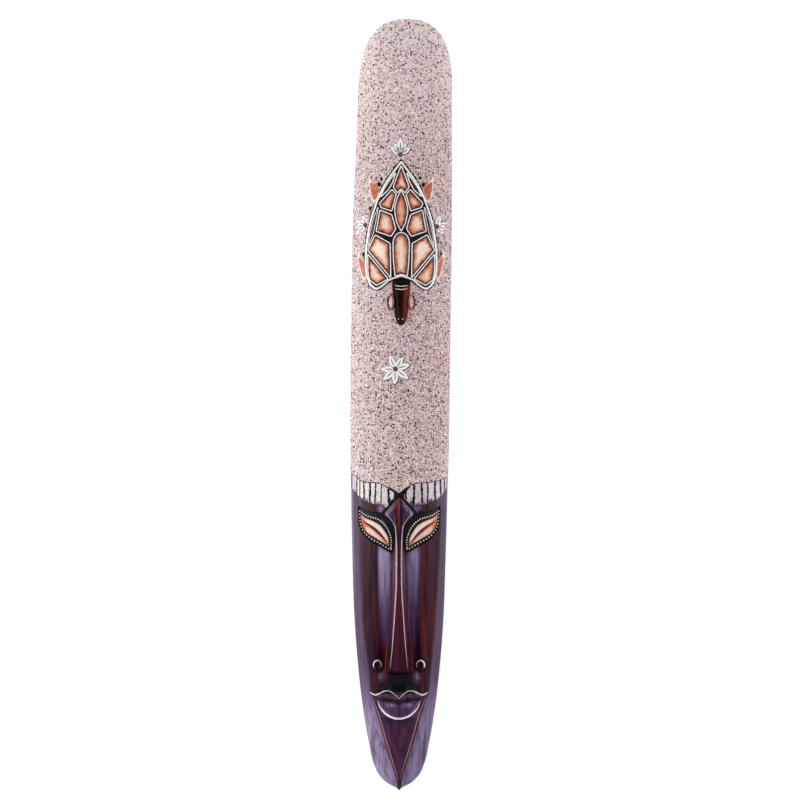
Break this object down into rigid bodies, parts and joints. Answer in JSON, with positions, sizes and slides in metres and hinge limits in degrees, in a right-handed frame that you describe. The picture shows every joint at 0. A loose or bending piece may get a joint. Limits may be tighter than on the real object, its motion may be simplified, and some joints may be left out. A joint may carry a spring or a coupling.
{
  "type": "carved wood mask",
  "caption": "Long carved wood wall mask: tall arched sand-coated board with a turtle in relief, above a narrow dark face with a long nose, hollowed from behind.",
  "frame": {"origin": "middle of the footprint, level with the flat back rim that the mask lies on", "axes": "+X to the right as seen from the front, +Y from the chin to the round top end, +Z out of the face"},
  "size_m": [0.131, 1, 0.058],
  "materials": {
    "lacquered_wood": "dark plum brown stain with red-brown and violet-grey streaks along the grain, rubbed semi-gloss lacquer",
    "sand_coat": "cream-pink ground with glued black, brown and white sand grains, matt and rough",
    "painted_relief": "cream to orange paint with white outlines and black grooves under semi-gloss lacquer"
  },
  "bodies": {
    "root": {"carved_mask": "lacquered_wood"}
  },
  "joints": []
}
